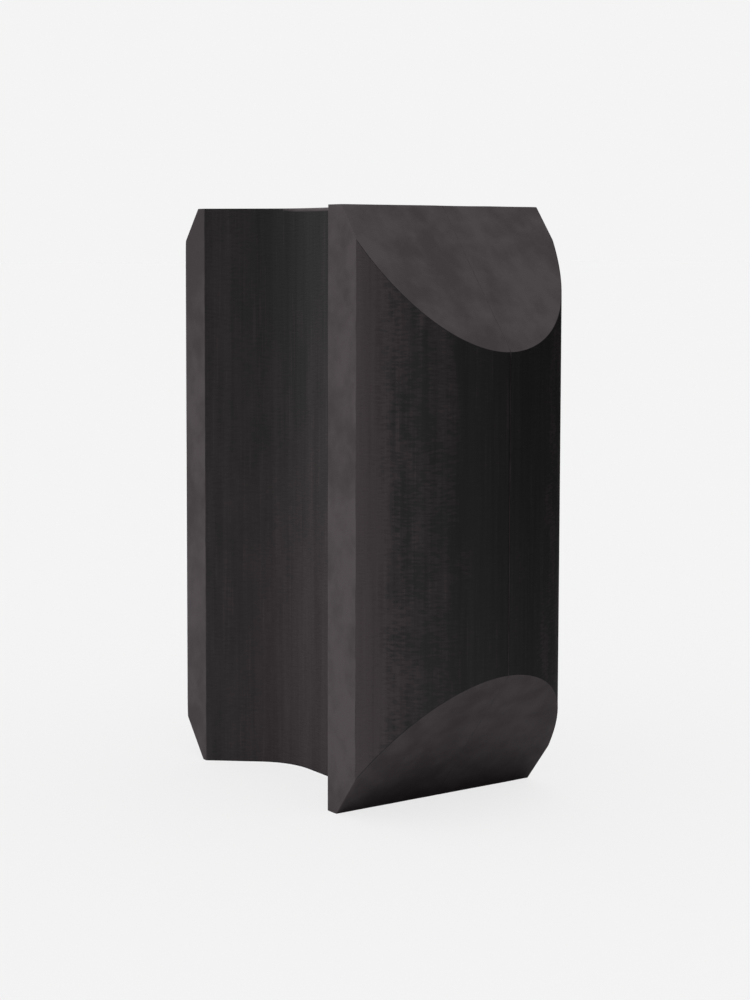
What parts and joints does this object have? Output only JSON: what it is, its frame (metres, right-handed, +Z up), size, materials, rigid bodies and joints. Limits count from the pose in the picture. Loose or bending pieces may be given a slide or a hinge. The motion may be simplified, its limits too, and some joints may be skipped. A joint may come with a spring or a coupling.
{
  "type": "pull buoy",
  "caption": "Hourglass foam swimming float standing on end, with a thigh groove down each side, round-backed lobes and bevelled ends.",
  "frame": {"origin": "on the ground, under the middle of the block as it stands on one end", "axes": "+Z up along the block's length, +Y from the front lobe to the rear lobe, +X through the thickness from the left slab to the right slab; the bond lies in the plane X = 0"},
  "size_m": [0.09, 0.179, 0.22],
  "materials": {
    "foam": "matte closed-cell EVA foam, charcoal, with fine cut marks",
    "adhesive": "cured contact adhesive, satin"
  },
  "bodies": {
    "root": {"left_foam_slab": "foam", "right_foam_slab": "foam", "adhesive_film": "adhesive"}
  },
  "joints": []
}
